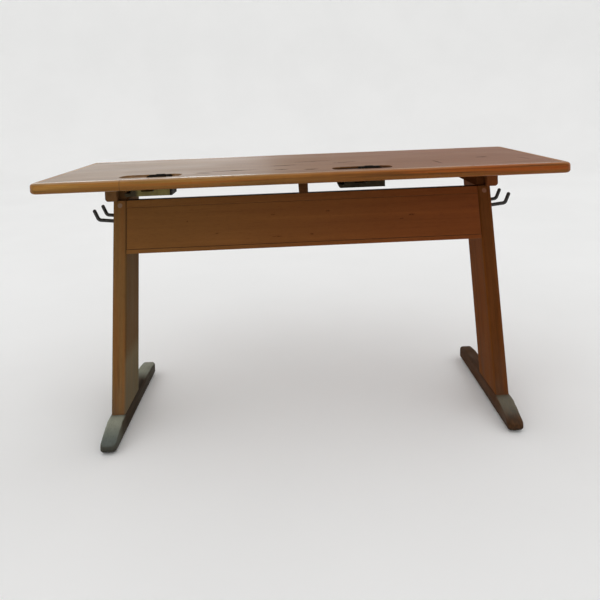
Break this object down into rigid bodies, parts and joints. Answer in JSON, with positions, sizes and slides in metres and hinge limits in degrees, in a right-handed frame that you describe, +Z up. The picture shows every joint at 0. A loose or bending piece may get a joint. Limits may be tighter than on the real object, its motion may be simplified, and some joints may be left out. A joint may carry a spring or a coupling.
{
  "type": "two-place school drawing desk",
  "caption": "Free-standing wooden school drawing desk with a flat lipped top, raked plank legs on runner feet, front apron, covered ink pots with pen trays, and side bag hooks.",
  "frame": {"origin": "on the floor, under the middle of the desk's bounding box", "axes": "+X along the desk's width, +Y from the apron side to the pupils' side, +Z up"},
  "size_m": [1.3, 0.544, 0.6428],
  "materials": {
    "top_veneer": "worn varnish over oak veneer, scratched along the grain",
    "lipping_oak": "worn satin varnish, straight grain",
    "apron_veneer": "satin varnish over beech veneer",
    "frame_beech": "satin varnish, fine grain",
    "foot_beech": "worn and scuffed varnish",
    "cleat_beech": "dull varnish",
    "plug_wood": "pale end grain",
    "box_olive": "dull olive enamel",
    "box_black": "dull black enamel",
    "bezel_black": "worn black enamel",
    "lid_black": "worn black enamel, satin",
    "hook_black": "dull black enamel",
    "pot_glass": "pressed glass",
    "glide_steel": "dulled nickel",
    "zinc_steel": "zinc plated"
  },
  "bodies": {
    "desk": {"core_panel": "top_veneer", "front_lipping_left": "lipping_oak", "front_lipping_right": "lipping_oak", "back_lipping": "lipping_oak", "left_lipping": "lipping_oak", "right_lipping": "lipping_oak", "left_bearer": "frame_beech", "right_bearer": "frame_beech", "left_cleat": "cleat_beech", "right_cleat": "cleat_beech", "centre_bearer": "frame_beech", "left_leg": "frame_beech", "right_leg": "frame_beech", "left_foot": "foot_beech", "right_foot": "foot_beech", "apron_panel": "apron_veneer", "apron_top_rail": "frame_beech", "apron_bottom_lipping": "lipping_oak", "left_apron_cleat": "cleat_beech", "right_apron_cleat": "cleat_beech", "left_ink_box": "box_olive", "right_ink_box": "box_black", "left_bezel": "bezel_black", "right_bezel": "bezel_black", "left_ink_pot": "pot_glass", "right_ink_pot": "pot_glass", "left_hinge_pin": "zinc_steel", "right_hinge_pin": "zinc_steel", "left_front_hook": "hook_black", "left_rear_hook": "hook_black", "right_front_hook": "hook_black", "right_rear_hook": "hook_black", "leg_plugs": "plug_wood", "leg_bolts": "zinc_steel", "barrel_nuts": "zinc_steel", "bearer_screws": "zinc_steel", "top_screws": "zinc_steel", "apron_screws": "zinc_steel", "foot_bolts": "zinc_steel", "foot_glides": "lid_black", "ink_box_screws": "zinc_steel", "bezel_screws": "zinc_steel"},
    "left_flap": {"left_lid": "lid_black"},
    "right_flap": {"right_lid": "lid_black"}
  },
  "joints": [
    {"name": "left_lid_hinge", "type": "hinge", "parent": "desk", "child": "left_flap", "pos_m": [-0.357, -0.1825, 0.6402], "axis": [1, 0, 0], "range_deg": [0, 100]},
    {"name": "right_lid_hinge", "type": "hinge", "parent": "desk", "child": "right_flap", "pos_m": [0.167, -0.1825, 0.6402], "axis": [1, 0, 0], "range_deg": [0, 100]}
  ]
}
